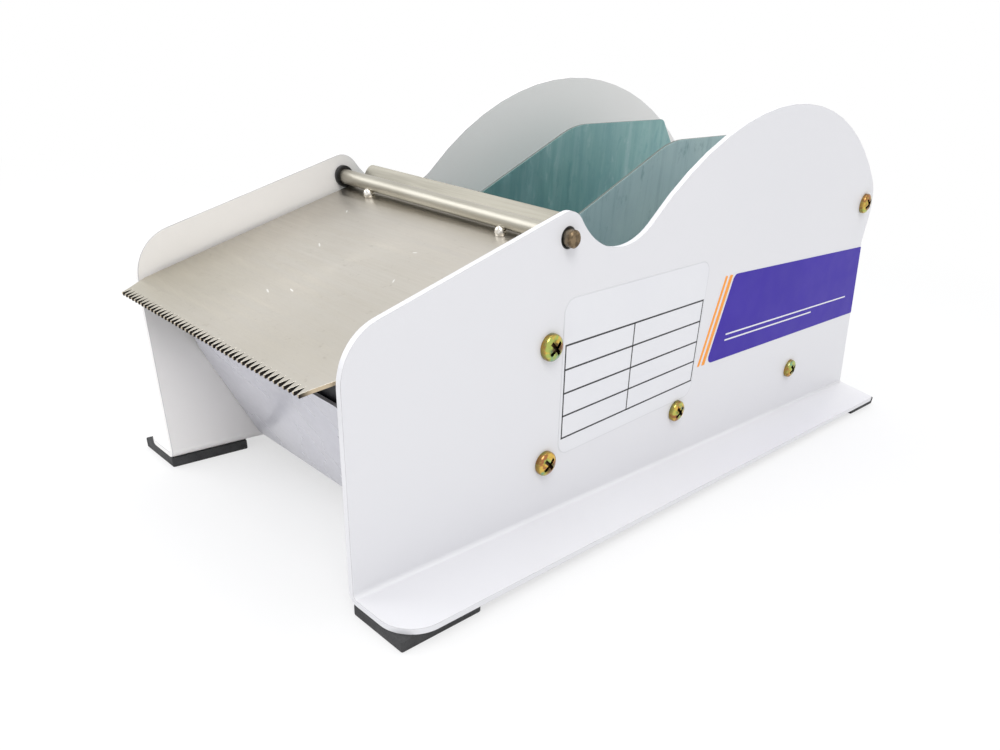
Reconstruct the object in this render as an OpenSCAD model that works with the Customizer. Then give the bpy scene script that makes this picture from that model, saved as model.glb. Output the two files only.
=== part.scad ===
// Desktop dispenser for gummed, water-activated paper tape.
// Two folded side panels carry a hinged cutter plate, a water tank with a brush,
// two rollers for the tape roll and two guide walls that slide to the tape's width.
// +Z is up, -Y is the serrated front, and the origin lies under the centre of the box.
// Inside the modules, y is measured back from the front edge of the side panels.

/* [Side panels] */
// Clear width between the side panels
inner_w = 99; // [97:0.5:110]
// Thickness of the side panel sheet
sheet_t = 1.8; // [1.2:0.1:2.4]
// Length of a side panel at its foot
panel_len = 293.5; // [285:0.5:320]
// Height of the hump above the foot flange's underside
panel_h = 121; // [113:1:131]
// Width of the foot flange, measured from the panel's inner face
flange_w = 23; // [20:0.5:30]
// Radius inside the fold between panel and flange
fold_r = 1.3; // [1:0.1:3]
// Slope of the top edge in front of the hinge, in degrees
slope_a = 19; // [16:0.5:22]
// Radius of the front upper corner
front_r = 15; // [8:0.5:20]
// Radius of the ear around the hinge hole
ear_r = 6.3; // [5.5:0.1:7]
// Radius of the dip behind the ear
dip_r = 22; // [16:1:26]
// Radius of the hump
hump_r = 118; // [114:1:124]
// Distance of the hump's crown from the front edge
hump_y = 188.5; // [184:0.5:194]
// Radius of the rear upper corner
rear_r = 20; // [14:1:24]
// Distance of the upright rear edge from the front edge
rear_y = 267; // [264:0.5:272]
// Height at which the rear edge starts to run backwards
rear_kink_z = 76; // [60:1:80]
// Radius of the flange's front corner
flange_front_r = 10; // [4:0.5:14]
// Radius of the flange's rear corner
flange_rear_r = 3; // [1:0.5:6]
// How far the flange's rear edge runs forward at its outer end
flange_rear_cut = 7.5; // [0:0.5:14]

/* [Foot pads] */
// Thickness of a foot pad
pad_h = 3.5; // [2.5:0.1:4.5]
// Width of a foot pad
pad_w = 20; // [14:0.5:22]
// Length of a foot pad
pad_len = 25.5; // [18:0.5:40]
// Inset of a pad from the flange's outer edge
pad_inset = 1.5; // [0.5:0.5:4]
// Distance of the rear pads from the rear end of the flange
pad_rear_inset = 1.5; // [0:0.5:6]

/* [Hinge] */
// Distance of the hinge axis from the front edge
hinge_y = 68.5; // [66:0.5:72]
// Height of the hinge axis
hinge_z = 87.7; // [84:0.1:90]
// Diameter of the hinge rod
rod_d = 4.5; // [4:0.1:5]
// Length of the hinge rod beyond each side panel
rod_reach = 2.5; // [1:0.1:5]
// Chamfer on the ends of the hinge rod
rod_chamfer = 0.4; // [0.2:0.1:0.8]
// Radial clearance of a running fit
run_gap = 0.05; // [0.02:0.01:0.09]
// Wall of a hinge bush where it passes through the panel
bush_wall = 0.45; // [0.4:0.05:0.8]
// Diameter of a hinge bush's collar
bush_collar_d = 6.5; // [6.2:0.1:8]
// Thickness of a hinge bush's collar
bush_collar_t = 1.2; // [0.8:0.1:1.6]

/* [Cutter plate] */
// How far the teeth stand out in front of the side panels
blade_reach = 6.5; // [4:0.5:12]
// Thickness of the cutter plate
plate_t = 1; // [0.8:0.1:1.5]
// Side play of the cutter plate between the bush collars
plate_play = 0.3; // [0.2:0.1:1.5]
// How far the serrated edge is set in from each side of the plate
nose_inset = 2; // [0.5:0.5:6]
// Length over which the plate narrows to the serrated edge
nose_len = 8; // [5:0.5:14]
// Number of teeth
teeth = 46; // [36:1:50]
// Depth of the teeth
tooth_depth = 2.8; // [1.5:0.1:3.5]
// Width of a tooth's flat tip
tooth_tip = 0.35; // [0.2:0.05:0.6]
// Gap between the hinge rod and the plate's upper face
weld_gap = 0.65; // [0.3:0.05:1]
// Distance behind the hinge axis at which the plate turns up
lip_start = 2.6; // [2:0.1:4]
// Angle by which the rear lip turns up from the plate, in degrees
lip_turn = 40; // [30:1:50]
// Length of the rear lip
lip_len = 6.6; // [4:0.1:8]
// How far the rear lip is set in from each side of the plate
lip_inset = 2.5; // [1:0.5:8]
// Radius of the lip's upper corners
lip_corner_r = 2.5; // [1:0.5:4]
// Distance between the two tack welds
weld_pitch = 61; // [40:1:76]
// Sideways offset of the tack welds from the middle
weld_shift = -3; // [-5:0.5:5]
// Radius of a tack weld
weld_r = 1.7; // [1.2:0.1:2.2]

/* [Front trough] */
// Thickness of the trough sheet
trough_t = 1.2; // [0.8:0.1:1.6]
// Height of the trough's underside
trough_z = 5; // [4.5:0.1:8]
// Distance of the trough's lower front fold from the front edge
trough_front_y = 30; // [26:0.5:32]
// Lean of the trough's front wall from upright, in degrees
trough_lean = 26; // [20:0.5:30]
// Height of the top of the trough's front wall
trough_front_z = 49.4; // [44:0.2:50]
// Radius of the front wall's upper corners
trough_corner_r = 16; // [6:1:20]
// Distance of the trough's rear wall from the front edge
trough_back_y = 60; // [58:0.5:61]
// Height of the top of the trough's rear wall
trough_back_z = 66; // [64:1:70]
// Length of the side tabs that the screws hold
tab_len = 14; // [11:0.5:16]
// Radius outside the trough's folds
trough_r = 3; // [2:0.5:5]
// Gap between the trough's front wall and a side panel
trough_side_gap = 0.2; // [0.1:0.1:0.5]

/* [Water tank] */
// Wall thickness of the water tank
tank_t = 2; // [1.5:0.1:3]
// Gap between the water tank and a side panel
tank_side_gap = 1.5; // [1:0.1:2.5]
// Gap between the tank's walls and the trough
tank_gap = 0.4; // [0.3:0.1:0.6]
// Height of the tank's side and rear rim
tank_rim_z = 56; // [50:1:58]
// Gap between the tank's front wall and the cutter plate
tape_gap = 0.3; // [0.3:0.05:0.8]
// Height of the ribs that hold the brush
rib_h = 8; // [5:1:12]
// Thickness of the ribs that hold the brush
rib_t = 2; // [1.5:0.1:3]
// Length of each rib
rib_len = 24; // [14:1:30]

/* [Brush] */
// Gap between an end of the brush and the tank's side wall
brush_end_gap = 2; // [0.5:0.5:8]
// Depth of the brush back, front to rear
brush_d = 13; // [10:0.5:14]
// Height of the brush back
brush_h = 12; // [9:0.5:16]
// Radius of the brush back's lower edges
brush_edge_r = 1.5; // [1.1:0.1:3]
// Clearance between brush back, ribs and tank wall
brush_gap = 0.2; // [0.1:0.05:0.4]
// Number of bristle rows, front to rear
bristle_rows = 8; // [6:1:8]
// Number of bristles in a row
bristle_count = 44; // [40:1:48]
// Thickness of a bristle
bristle_t = 0.8; // [0.5:0.1:0.9]
// Margin of bare brush back around the bristles
bristle_margin = 1.2; // [1:0.1:2]
// Thickness of the pad that the bristles are set in
bristle_base_t = 1.5; // [1:0.1:2]
// Gap between the bristle tips and the cutter plate
bristle_gap = 0.5; // [0.3:0.1:1]

/* [Rollers] */
// Distance of the front roller from the front edge
roller_front_y = 136; // [130:1:140]
// Distance of the rear roller from the front edge
roller_rear_y = 224.5; // [220:0.5:230]
// Height of the rollers
roller_z = 25; // [22:0.5:28]
// Outer diameter of a roller
roller_d = 12; // [11:0.5:14]
// End play of a roller at each side panel
roller_play = 0.7; // [0.5:0.1:1.5]
// Diameter of a tie rod
tie_d = 8; // [7.5:0.5:9]
// Distance of the upper tie rod from the front edge
upper_tie_y = 256.5; // [252:0.5:259]
// Height of the upper tie rod
upper_tie_z = 92; // [88:0.5:94]

/* [Tape guides] */
// Distance between the two tape guides
guide_gap = 43; // [26:1:86]
// Thickness of the guide sheet
guide_t = 1; // [0.8:0.1:1.5]
// Distance of the guides' front edge from the front edge
guide_front_y = 88; // [84:1:92]
// Height of the guides' front shoulder
guide_front_z = 78.6; // [72:0.2:80]
// Distance of the guides' top front corner from the front edge
guide_top_y = 149.5; // [146:0.5:153]
// Height of the guides' top front corner
guide_top_z = 109; // [104:0.2:112]
// Radius of the bend at the guides' top front corner
guide_top_r = 35; // [5:1:40]
// Distance of the guides' top rear corner from the front edge
guide_peak_y = 204; // [198:0.5:207]
// Height of the guides' top rear corner
guide_peak_z = 113.4; // [112:0.2:115]
// Distance of the guides' rear edge from the front edge
guide_rear_y = 238; // [236:0.5:244]
// Height of the guides' rear shoulder
guide_rear_z = 77.5; // [72:0.5:84]
// Height of the guides' lower edge
guide_low_z = 14; // [12:0.5:16]
// Radius of the guides' other corners
guide_r = 3; // [1.5:0.5:5]
// Outer diameter of a guide hub
hub_d = 17; // [16.5:0.5:19]
// Length of a guide hub outside its guide
hub_len = 2.6; // [1.5:0.1:2.6]
// Wall of a guide hub where it passes through the guide
hub_wall = 1.2; // [0.8:0.1:1.6]

/* [Fasteners] */
// Diameter of a screw's shank
screw_d = 3.9; // [3.5:0.1:4]
// Length of a screw's shank
screw_len = 8; // [7:0.5:9]
// Diameter of a screw's pan head
head_d = 7.7; // [7:0.1:8.4]
// Height of a screw's pan head
head_h = 2.6; // [2:0.1:3]
// Width of the cross recess in a screw head
cross_w = 1.1; // [0.6:0.1:1.4]
// Span of the cross recess in a screw head
cross_span = 4.8; // [3:0.1:5.2]
// Depth of the cross recess in a screw head
cross_depth = 1.3; // [0.8:0.1:1.8]
// Diameter of the screw holes in the side panels and trough tabs
screw_hole_d = 4.5; // [4.2:0.1:5]
// Width across the flats of a nut
nut_w = 7; // [6.5:0.1:8]
// Height of a nut
nut_h = 3.2; // [2.5:0.1:4]
// Distance of the lower trough screw from the front edge
low_screw_y = 67.2; // [66:0.1:68]
// Height of the lower trough screw
low_screw_z = 23.9; // [20:0.1:28]
// Distance of the upper trough screw from the front edge
high_screw_y = 65.2; // [65:0.1:68]
// Height of the upper trough screw
high_screw_z = 59.7; // [54:0.1:60]

/* [Hidden] */

$fn = 64;
arc_step = 5;            // degrees between the points of a rounded outline
cut = 1;                 // overshoot of a cutting body past the face it opens

half_w = inner_w / 2;                       // inner face of a side panel
outer_x = half_w + sheet_t;                 // outer face of a side panel
flange_x = half_w + flange_w;               // outer edge of the foot flange
flange_top_z = pad_h + sheet_t;
rear_pad_y = panel_len - pad_rear_inset - pad_len;
upright_z = flange_top_z + fold_r;          // where the upright part starts
front_y = (blade_reach - panel_len) / 2;    // front edge of the panels, from the origin

hinge = [hinge_y, hinge_z];
slope_n = [-sin(slope_a), cos(slope_a)];    // normal of the sloping top edge
front_c = [front_r,
    (slope_n * hinge + ear_r - front_r + front_r * sin(slope_a)) / cos(slope_a)];
hump_c = [hump_y, pad_h + panel_h - hump_r];
dip_c = circle_meet(hinge, ear_r + dip_r, hump_c, hump_r + dip_r);
rear_c = [rear_y - rear_r,
    hump_c.y + sqrt(pow(hump_r - rear_r, 2) - pow(rear_y - rear_r - hump_y, 2))];

plate_w = inner_w - 2 * (bush_collar_t + plate_play);
nose_w = plate_w - 2 * nose_inset;
lip_w = plate_w - 2 * lip_inset;
plate_drop = rod_d / 2 + weld_gap;          // plate's upper face below the hinge axis
plate_front = (hinge_y + plate_drop * sin(slope_a) + blade_reach) / cos(slope_a);
tooth_pitch = nose_w / teeth;
bush_d = rod_d + 2 * (run_gap + bush_wall);
screws = [[high_screw_y, high_screw_z], [low_screw_y, low_screw_z],
    [roller_front_y, roller_z], [roller_rear_y, roller_z], [upper_tie_y, upper_tie_z]];
thread_d = screw_d + 2 * run_gap;           // threaded holes, drawn as plain bores
thread_spare = 1.5;                         // threaded hole beyond the screw's end
thread_depth = screw_len - sheet_t + thread_spare;
screw_chamfer = 0.4;                        // chamfer on a screw's end
head_rim_h = 0.4 * head_h;                  // straight rim below a screw head's crown

tank_w = inner_w - 2 * tank_side_gap;
tank_r = trough_r;                          // rounder than the inside of the trough's folds
tank_bottom_z = trough_z + trough_t;
tank_floor_z = tank_bottom_z + tank_t;
tank_back_y = trough_back_y - trough_t - tank_gap;
tank_slant = 1 / cos(trough_lean);          // horizontal width of a slanted wall per mm
tank_front_offset = (trough_t + tank_gap) * tank_slant;
tank_foot_y = trough_wall_y(0) + tank_front_offset;  // tank's front plane at height 0
tank_lip_z = (plate_under_z(0) - tape_gap + tank_foot_y * tan(slope_a))
    / (1 + tan(slope_a) * tan(trough_lean));         // its wall ends just under the plate

brush_w = tank_w - 2 * (tank_t + brush_end_gap);
brush_back_y = tank_back_y - tank_t - brush_gap;
brush_front_y = brush_back_y - brush_d;
bristle_z = tank_floor_z + brush_h - bristle_base_t;
bristle_pitch_x = (brush_w - 2 * bristle_margin - bristle_t) / (bristle_count - 1);
bristle_pitch_y = (brush_d - 2 * bristle_margin - bristle_t) / (bristle_rows - 1);

hub_bore_d = roller_d + 2 * run_gap;
hub_neck_d = hub_bore_d + 2 * hub_wall;
rollers = [[roller_front_y, roller_z], [roller_rear_y, roller_z]];

// ---- outline helpers -------------------------------------------------------

function unit(v) = v / norm(v);

function angle_of(v) = atan2(v.y, v.x);

// Points of an arc about c from angle a0 to angle a1
function arc(c, r, a0, a1) =
    let (n = max(2, ceil(abs(a1 - a0) / arc_step)))
    [for (i = [0:n]) c + r * [cos(a0 + (a1 - a0) * i / n), sin(a0 + (a1 - a0) * i / n)]];

// Upper meeting point of two circles
function circle_meet(c1, r1, c2, r2) =
    let (d = norm(c2 - c1), u = (c2 - c1) / d, a = (r1 * r1 - r2 * r2 + d * d) / (2 * d))
    c1 + a * u + sqrt(r1 * r1 - a * a) * [-u.y, u.x];

// Arc that rounds the corner b between a and c
function corner(a, b, c, r) =
    let (
        u = unit(a - b), v = unit(c - b), half = acos(u * v) / 2,
        centre = b + unit(u + v) * r / sin(half),
        a0 = angle_of(b + u * r / tan(half) - centre),
        a1 = angle_of(b + v * r / tan(half) - centre),
        turn = a1 - a0 > 180 ? a1 - a0 - 360 : a1 - a0 < -180 ? a1 - a0 + 360 : a1 - a0
    )
    arc(centre, r, a0, a0 + turn);

// Outline from [x, y, corner radius] points
function rounded(pts) =
    let (n = len(pts))
    [for (i = [0:n - 1])
        let (p = pts[i], q = pts[(i + n - 1) % n], s = pts[(i + 1) % n])
        each p[2] > 0 ? corner([q.x, q.y], [p.x, p.y], [s.x, s.y], p[2]) : [[p.x, p.y]]];

// Height of the cutter plate's underside at distance y, when it lies closed
function plate_under_z(y) = hinge_z + (y - hinge_y) * tan(slope_a)
    - (plate_drop + plate_t) / cos(slope_a);

// Distance of the trough's front wall, outer face, from the front edge at height z
function trough_wall_y(z) = trough_front_y - (z - trough_z) * tan(trough_lean);

// ---- placing helpers -------------------------------------------------------

module at_front() { translate([0, front_y, 0]) children(); }

// Stands a [y, z] outline upright and gives it a thickness from x0 to x1
module side_slab(x0, x1) {
    translate([x0, 0, 0]) rotate([90, 0, 90]) linear_extrude(x1 - x0) children();
}

// Bar or hole along X with its axis at p = [y, z]
module x_bar(p, d, x0, x1) {
    translate([x0, p.x, p.y]) rotate([0, 90, 0]) cylinder(d = d, h = x1 - x0);
}

// Draws its children on the right and, mirrored, on the left
module both_sides() {
    children();
    mirror([1, 0, 0]) children();
}

// The cutter plate's own frame: x along the hinge, y up the slope, z off the plate
module plate_frame() {
    translate([0, hinge_y, hinge_z]) rotate([slope_a, 0, 0])
        translate([0, 0, -plate_drop]) children();
}

// ---- side panels -----------------------------------------------------------

module panel_outline() {
    dip_a = angle_of(dip_c - hinge);
    hump_a = angle_of(dip_c - hump_c);
    rear_a = angle_of(rear_c - hump_c);
    polygon(concat(
        [[0, upright_z]],
        arc(front_c, front_r, 180, 90 + slope_a),
        arc(hinge, ear_r, 90 + slope_a, dip_a),
        arc(dip_c, dip_r, dip_a + 180, hump_a + 180),
        arc(hump_c, hump_r, hump_a, rear_a),
        arc(rear_c, rear_r, rear_a, 0),
        [[rear_y, rear_kink_z], [panel_len, upright_z]]
    ));
}

module foot_flange() {
    inner = outer_x + fold_r;
    translate([0, 0, pad_h]) linear_extrude(sheet_t) polygon(rounded([
        [inner, 0, 0], [flange_x, 0, flange_front_r],
        [flange_x, panel_len - flange_rear_cut, flange_rear_r], [inner, panel_len, 0]]));
}

module foot_fold() {
    translate([outer_x + fold_r, panel_len, upright_z]) rotate([90, 0, 0])
        intersection() {
            difference() {
                cylinder(r = fold_r + sheet_t, h = panel_len);
                translate([0, 0, -cut]) cylinder(r = fold_r, h = panel_len + 2 * cut);
            }
            translate([-fold_r - 2 * sheet_t, -fold_r - 2 * sheet_t, -cut])
                cube([fold_r + 2 * sheet_t, fold_r + 2 * sheet_t, panel_len + 2 * cut]);
        }
}

module side_panel() {
    difference() {
        union() {
            side_slab(half_w, outer_x) panel_outline();
            foot_fold();
            foot_flange();
        }
        x_bar(hinge, bush_d + 2 * run_gap, half_w - cut, outer_x + cut);
        for (p = screws) x_bar(p, screw_hole_d, half_w - cut, outer_x + cut);
    }
}

module right_side_panel() { color("whitesmoke") at_front() side_panel(); }

module left_side_panel() { color("whitesmoke") at_front() mirror([1, 0, 0]) side_panel(); }

// ---- foot pads -------------------------------------------------------------

module foot_pad(y) {
    translate([flange_x - pad_inset - pad_w, y, 0]) cube([pad_w, pad_len, pad_h]);
}

module front_right_pad() { color("dimgray") at_front() foot_pad(0); }

module front_left_pad() { color("dimgray") at_front() mirror([1, 0, 0]) foot_pad(0); }

module rear_right_pad() { color("dimgray") at_front() foot_pad(rear_pad_y); }

module rear_left_pad() { color("dimgray") at_front() mirror([1, 0, 0]) foot_pad(rear_pad_y); }

// ---- front trough ----------------------------------------------------------

module trough_section() {
    inner_r = trough_r - trough_t;
    floor_y = trough_wall_y(trough_z + trough_t) + trough_t * tank_slant;
    top_y = trough_wall_y(trough_back_z);
    difference() {
        polygon(rounded([
            [trough_wall_y(trough_front_z), trough_front_z, 0],
            [trough_front_y, trough_z, trough_r], [trough_back_y, trough_z, trough_r],
            [trough_back_y, trough_back_z, 0],
            [trough_back_y - trough_t, trough_back_z, 0],
            [trough_back_y - trough_t, trough_front_z, 0]]));
        polygon(rounded([
            [top_y + trough_t * tank_slant, trough_back_z, 0],
            [floor_y, trough_z + trough_t, inner_r],
            [trough_back_y - trough_t, trough_z + trough_t, inner_r],
            [trough_back_y - trough_t, trough_back_z, 0]]));
    }
}

module trough_tab() {
    low = trough_z + trough_r;
    side_slab(half_w - trough_t, half_w) polygon(rounded([
        [trough_back_y - trough_t, low, 0], [trough_back_y + tab_len, low, trough_r],
        [trough_back_y + tab_len, trough_back_z, trough_r],
        [trough_back_y - trough_t, trough_back_z, 0]]));
}

module front_trough() {
    wall_x = half_w - trough_side_gap;
    color("whitesmoke") at_front() difference() {
        union() {
            side_slab(-wall_x, wall_x) trough_section();
            both_sides() trough_tab();
        }
        for (p = [screws[0], screws[1]])
            x_bar(p, screw_hole_d, -half_w - cut, half_w + cut);
        both_sides() trough_corner(wall_x - trough_corner_r);
    }
}

// Waste outside an upper corner of the front wall, whose round starts at x
module trough_corner(x) {
    side = trough_corner_r + cut;
    translate([x, trough_front_y, trough_front_z - trough_corner_r]) rotate([90, 0, 0])
        difference() {
            cube([side, side, trough_front_y + cut]);
            translate([0, 0, -cut])
                cylinder(r = trough_corner_r, h = trough_front_y + 3 * cut);
        }
}

// ---- water tank ------------------------------------------------------------

// Section of the tank, inset from its outer faces
module tank_section(inset, top) {
    front = tank_front_offset + inset * tank_slant;
    low = tank_bottom_z + inset;
    polygon(rounded([
        [trough_wall_y(top) + front, top, 0], [trough_wall_y(low) + front, low, tank_r - inset],
        [tank_back_y - inset, low, tank_r - inset], [tank_back_y - inset, top, 0]]));
}

module water_tank() {
    side = tank_w / 2;
    rim_y = trough_wall_y(tank_rim_z) + tank_front_offset;
    lip_y = trough_wall_y(tank_lip_z) + tank_front_offset;
    wall = tank_t * tank_slant;
    color("#17181c") at_front() {
        difference() {
            side_slab(-side, side) union() {
                tank_section(0, tank_rim_z);
                polygon([[rim_y, tank_rim_z], [lip_y, tank_lip_z],
                    [lip_y + wall, tank_lip_z], [rim_y + wall, tank_rim_z]]);
            }
            side_slab(-side + tank_t, side - tank_t) tank_section(tank_t, panel_h);
        }
        for (x = [-1, 1]) brush_rib(x * (brush_w - rib_len) / 2);
    }
}

module brush_rib(x) {
    translate([x - rib_len / 2, brush_front_y - brush_gap - rib_t, tank_floor_z])
        cube([rib_len, rib_t, rib_h]);
}

// ---- brush -----------------------------------------------------------------

module brush_back() {
    color("saddlebrown") at_front() side_slab(-brush_w / 2, brush_w / 2) polygon(rounded([
        [brush_front_y, tank_floor_z, brush_edge_r], [brush_back_y, tank_floor_z, brush_edge_r],
        [brush_back_y, bristle_z, 0], [brush_front_y, bristle_z, 0]]));
}

// A square strand that stands on the backing and ends under the closed plate
module bristle(x, y) {
    top = plate_under_z(y) - bristle_gap;
    translate([x, y, bristle_z]) linear_extrude(top - bristle_z) square(bristle_t);
}

module brush_bristles() {
    color("tan") at_front() {
        translate([-brush_w / 2, brush_front_y, bristle_z])
            cube([brush_w, brush_d, bristle_base_t]);
        for (i = [0:bristle_count - 1], j = [0:bristle_rows - 1])
            bristle(-brush_w / 2 + bristle_margin + i * bristle_pitch_x,
                brush_front_y + bristle_margin + j * bristle_pitch_y);
    }
}

// ---- cutter plate ----------------------------------------------------------

// Flat of the plate, seen from above, with the teeth at its front
module plate_outline() {
    root = -plate_front + tooth_depth;
    shoulder = -plate_front + nose_len;
    polygon(concat(
        [for (i = [0:teeth - 1])
            let (x = -nose_w / 2 + i * tooth_pitch)
            each [[x, root], [x + (tooth_pitch - tooth_tip) / 2, -plate_front],
                [x + (tooth_pitch + tooth_tip) / 2, -plate_front]]],
        [[nose_w / 2, root], [plate_w / 2, shoulder], [plate_w / 2, lip_start],
            [-plate_w / 2, lip_start], [-plate_w / 2, shoulder]]));
}

// Rear lip: a bend and a flat in one profile, cut to its width and round corners
module plate_lip() {
    bend_r = plate_t;
    bend_c = [lip_start, bend_r];
    along = lip_len * [cos(lip_turn), sin(lip_turn)];
    under = arc(bend_c, bend_r + plate_t, -90, lip_turn - 90);
    over = arc(bend_c, bend_r, lip_turn - 90, -90);
    intersection() {
        side_slab(-plate_w / 2, plate_w / 2) polygon(concat(
            under, [under[len(under) - 1] + along, over[0] + along], over));
        translate([0, lip_start, bend_r]) rotate([lip_turn, 0, 0])
            translate([0, 0, -2 * lip_len]) linear_extrude(4 * lip_len) polygon(rounded([
                [-lip_w / 2, -lip_len, 0], [lip_w / 2, -lip_len, 0],
                [lip_w / 2, lip_len, lip_corner_r], [-lip_w / 2, lip_len, lip_corner_r]]));
    }
}

module cutter_plate() {
    color("#cfc9bf") at_front() plate_frame() {
        translate([0, 0, -plate_t]) linear_extrude(plate_t) plate_outline();
        plate_lip();
    }
}

module hinge_rod() {
    reach = outer_x + rod_reach;
    color("#b9b3a6") at_front() translate([0, hinge_y, hinge_z]) rotate([0, 90, 0])
        rotate_extrude() polygon([
            [0, -reach], [rod_d / 2 - rod_chamfer, -reach],
            [rod_d / 2, -reach + rod_chamfer], [rod_d / 2, reach - rod_chamfer],
            [rod_d / 2 - rod_chamfer, reach], [0, reach]]);
}

// Beads that join the rod to the plate, on the rod's front side
module tack_welds() {
    color("#e6e0d6") at_front() difference() {
        plate_frame() for (s = [-1, 1])
            translate([weld_shift + s * weld_pitch / 2, -rod_d / 2, weld_gap])
                sphere(r = weld_r, $fn = 32);
        x_bar(hinge, rod_d, -outer_x, outer_x);
        plate_frame() translate([-outer_x, -plate_front, -2 * weld_r])
            cube([2 * outer_x, 2 * plate_front, 2 * weld_r]);
    }
}

module hinge_bush() {
    difference() {
        union() {
            x_bar(hinge, bush_collar_d, half_w - bush_collar_t, half_w);
            x_bar(hinge, bush_d, half_w, outer_x);
        }
        x_bar(hinge, rod_d + 2 * run_gap, half_w - bush_collar_t - cut, outer_x + cut);
    }
}

module right_hinge_bush() { color("#202022") at_front() hinge_bush(); }

module left_hinge_bush() { color("#202022") at_front() mirror([1, 0, 0]) hinge_bush(); }

// ---- tie rods and rollers --------------------------------------------------

module tie_rod(p) {
    difference() {
        x_bar(p, tie_d, -half_w, half_w);
        both_sides() x_bar(p, thread_d, half_w - thread_depth, half_w + cut);
    }
}

module front_tie_rod() { color("silver") at_front() tie_rod(rollers[0]); }

module rear_tie_rod() { color("silver") at_front() tie_rod(rollers[1]); }

module upper_tie_rod() { color("silver") at_front() tie_rod([upper_tie_y, upper_tie_z]); }

module roller(p) {
    reach = half_w - roller_play;
    difference() {
        x_bar(p, roller_d, -reach, reach);
        x_bar(p, tie_d + 2 * run_gap, -reach - cut, reach + cut);
    }
}

module front_roller() { color("#8f9396") at_front() roller(rollers[0]); }

module rear_roller() { color("#8f9396") at_front() roller(rollers[1]); }

// ---- tape guides -----------------------------------------------------------

module guide_wall() {
    inner = guide_gap / 2;
    difference() {
        side_slab(inner, inner + guide_t) polygon(rounded([
            [guide_front_y, guide_low_z, guide_r], [guide_front_y, guide_front_z, guide_r],
            [guide_top_y, guide_top_z, guide_top_r], [guide_peak_y, guide_peak_z, guide_r],
            [guide_rear_y, guide_rear_z, guide_r], [guide_rear_y, guide_low_z, guide_r]]));
        for (p = rollers) x_bar(p, hub_neck_d + 2 * run_gap, inner - cut, inner + guide_t + cut);
    }
}

module guide_hub(p) {
    inner = guide_gap / 2;
    difference() {
        union() {
            x_bar(p, hub_neck_d, inner, inner + guide_t);
            x_bar(p, hub_d, inner + guide_t, inner + guide_t + hub_len);
        }
        x_bar(p, hub_bore_d, inner - cut, inner + guide_t + hub_len + cut);
    }
}

module right_tape_guide() { color("#7fa3a3") at_front() guide_wall(); }

module left_tape_guide() { color("#7fa3a3") at_front() mirror([1, 0, 0]) guide_wall(); }

module right_guide_hubs() { color("ivory") at_front() for (p = rollers) guide_hub(p); }

module left_guide_hubs() {
    color("ivory") at_front() mirror([1, 0, 0]) for (p = rollers) guide_hub(p);
}

// ---- fasteners -------------------------------------------------------------

// Pan head screw along X, its head's seat at x = 0 and its head towards +X
module pan_screw() {
    difference() {
        rotate([0, 90, 0]) rotate_extrude() polygon(concat(
            [[0, -screw_len], [screw_d / 2 - screw_chamfer, -screw_len],
                [screw_d / 2, -screw_len + screw_chamfer], [screw_d / 2, 0], [head_d / 2, 0]],
            [for (a = [0:15:90])
                [(head_d / 2) * cos(a), head_rim_h + (head_h - head_rim_h) * sin(a)]]));
        for (a = [45, 135]) rotate([a, 0, 0])
            translate([head_h - cross_depth, -cross_span / 2, -cross_w / 2])
                cube([cross_depth + cut, cross_span, cross_w]);
    }
}

module panel_screws() {
    for (p = screws) translate([outer_x, p.x, p.y]) pan_screw();
}

module right_panel_screws() { color("#c9ad5a") at_front() panel_screws(); }

module left_panel_screws() { color("#c9ad5a") at_front() mirror([1, 0, 0]) panel_screws(); }

module trough_nut(p) {
    x0 = half_w - trough_t - nut_h;
    difference() {
        translate([x0, p.x, p.y]) rotate([0, 90, 0])
            cylinder(d = nut_w / cos(30), h = nut_h, $fn = 6);
        x_bar(p, thread_d, x0 - cut, x0 + nut_h + cut);
    }
}

module trough_nuts() {
    color("silver") at_front() both_sides()
        for (p = [screws[0], screws[1]]) trough_nut(p);
}

// ---- parts -----------------------------------------------------------------

left_side_panel();
right_side_panel();
front_trough();
water_tank();
brush_back();
brush_bristles();
cutter_plate();
hinge_rod();
tack_welds();
left_hinge_bush();
right_hinge_bush();
front_tie_rod();
rear_tie_rod();
upper_tie_rod();
front_roller();
rear_roller();
left_tape_guide();
right_tape_guide();
left_guide_hubs();
right_guide_hubs();
left_panel_screws();
right_panel_screws();
trough_nuts();
front_left_pad();
front_right_pad();
rear_left_pad();
rear_right_pad();
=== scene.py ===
"""Looks of the gummed paper tape dispenser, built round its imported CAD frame."""
import math
import random

import bmesh
import bpy
from mathutils import Matrix, Vector


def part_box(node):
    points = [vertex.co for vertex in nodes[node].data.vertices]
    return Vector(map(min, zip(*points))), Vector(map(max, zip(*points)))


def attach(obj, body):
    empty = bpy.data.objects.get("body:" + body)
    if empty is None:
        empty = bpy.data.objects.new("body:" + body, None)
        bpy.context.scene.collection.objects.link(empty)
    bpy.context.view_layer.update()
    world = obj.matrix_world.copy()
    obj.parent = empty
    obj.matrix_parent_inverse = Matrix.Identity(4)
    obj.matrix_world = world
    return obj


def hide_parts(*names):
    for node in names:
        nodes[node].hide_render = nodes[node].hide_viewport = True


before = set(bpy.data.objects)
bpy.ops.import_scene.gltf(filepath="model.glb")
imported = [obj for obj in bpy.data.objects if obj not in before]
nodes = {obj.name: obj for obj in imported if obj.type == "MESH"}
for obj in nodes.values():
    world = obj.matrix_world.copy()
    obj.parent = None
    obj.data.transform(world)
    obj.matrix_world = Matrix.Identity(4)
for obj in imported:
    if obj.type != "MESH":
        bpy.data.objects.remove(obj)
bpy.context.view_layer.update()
rng = random.Random(4122)

MM = 0.001

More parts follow.
